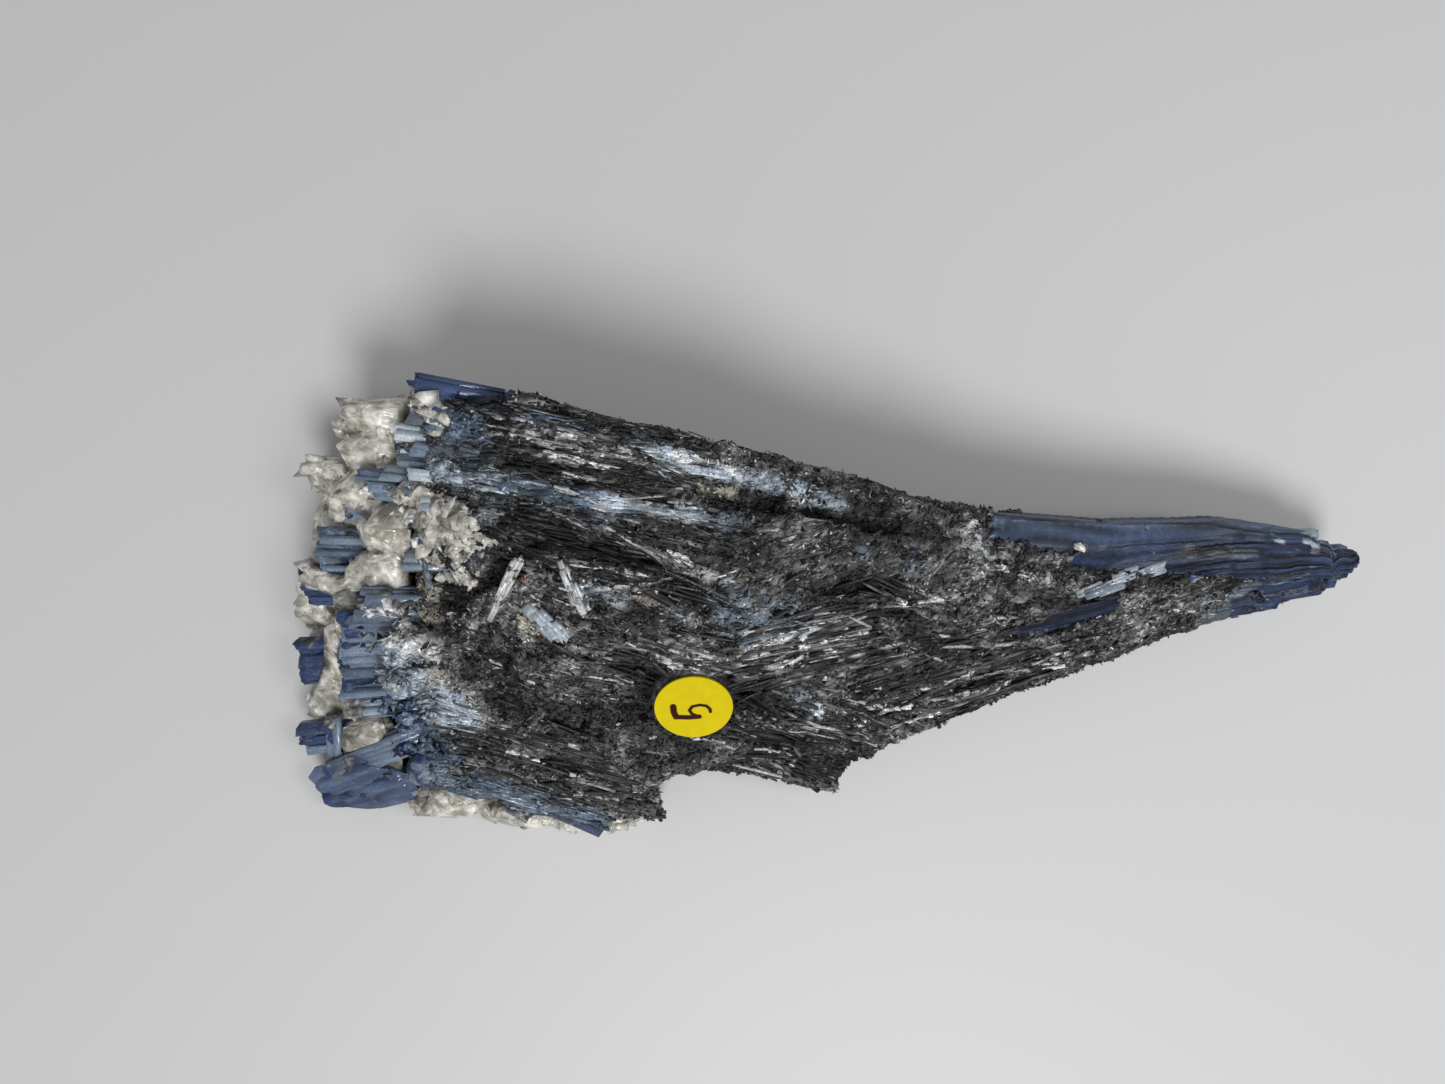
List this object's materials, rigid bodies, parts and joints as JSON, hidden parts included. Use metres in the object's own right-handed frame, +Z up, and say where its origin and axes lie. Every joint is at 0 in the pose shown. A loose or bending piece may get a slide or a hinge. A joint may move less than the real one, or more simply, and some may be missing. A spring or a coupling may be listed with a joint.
{
  "type": "kyanite crystal specimen",
  "caption": "Kyanite specimen: a tapering spray of flat blue blades under a dark striated crust, with glassy grey quartz at its broad broken end and a small round number sticker on its front.",
  "frame": {"origin": "on the surface the specimen lies on, under the middle of its bounding box", "axes": "+X along the spray from its broad broken end to its point, +Z up, -Y towards the sloping front that carries the sticker"},
  "size_m": [0.191, 0.0806, 0.0405],
  "materials": {
    "kyanite_crust": "dark grey striated crust with a graphite glitter",
    "kyanite_blue": "glossy translucent blue crystal",
    "quartz": "cloudy, glassy, faint beige",
    "sticker_paper": "semi-gloss coated paper",
    "sticker_ink": "glossy dried ink"
  },
  "bodies": {
    "root": {"kyanite_spray": "kyanite_crust", "quartz_matrix": "quartz", "number_sticker": "sticker_paper"}
  },
  "joints": []
}
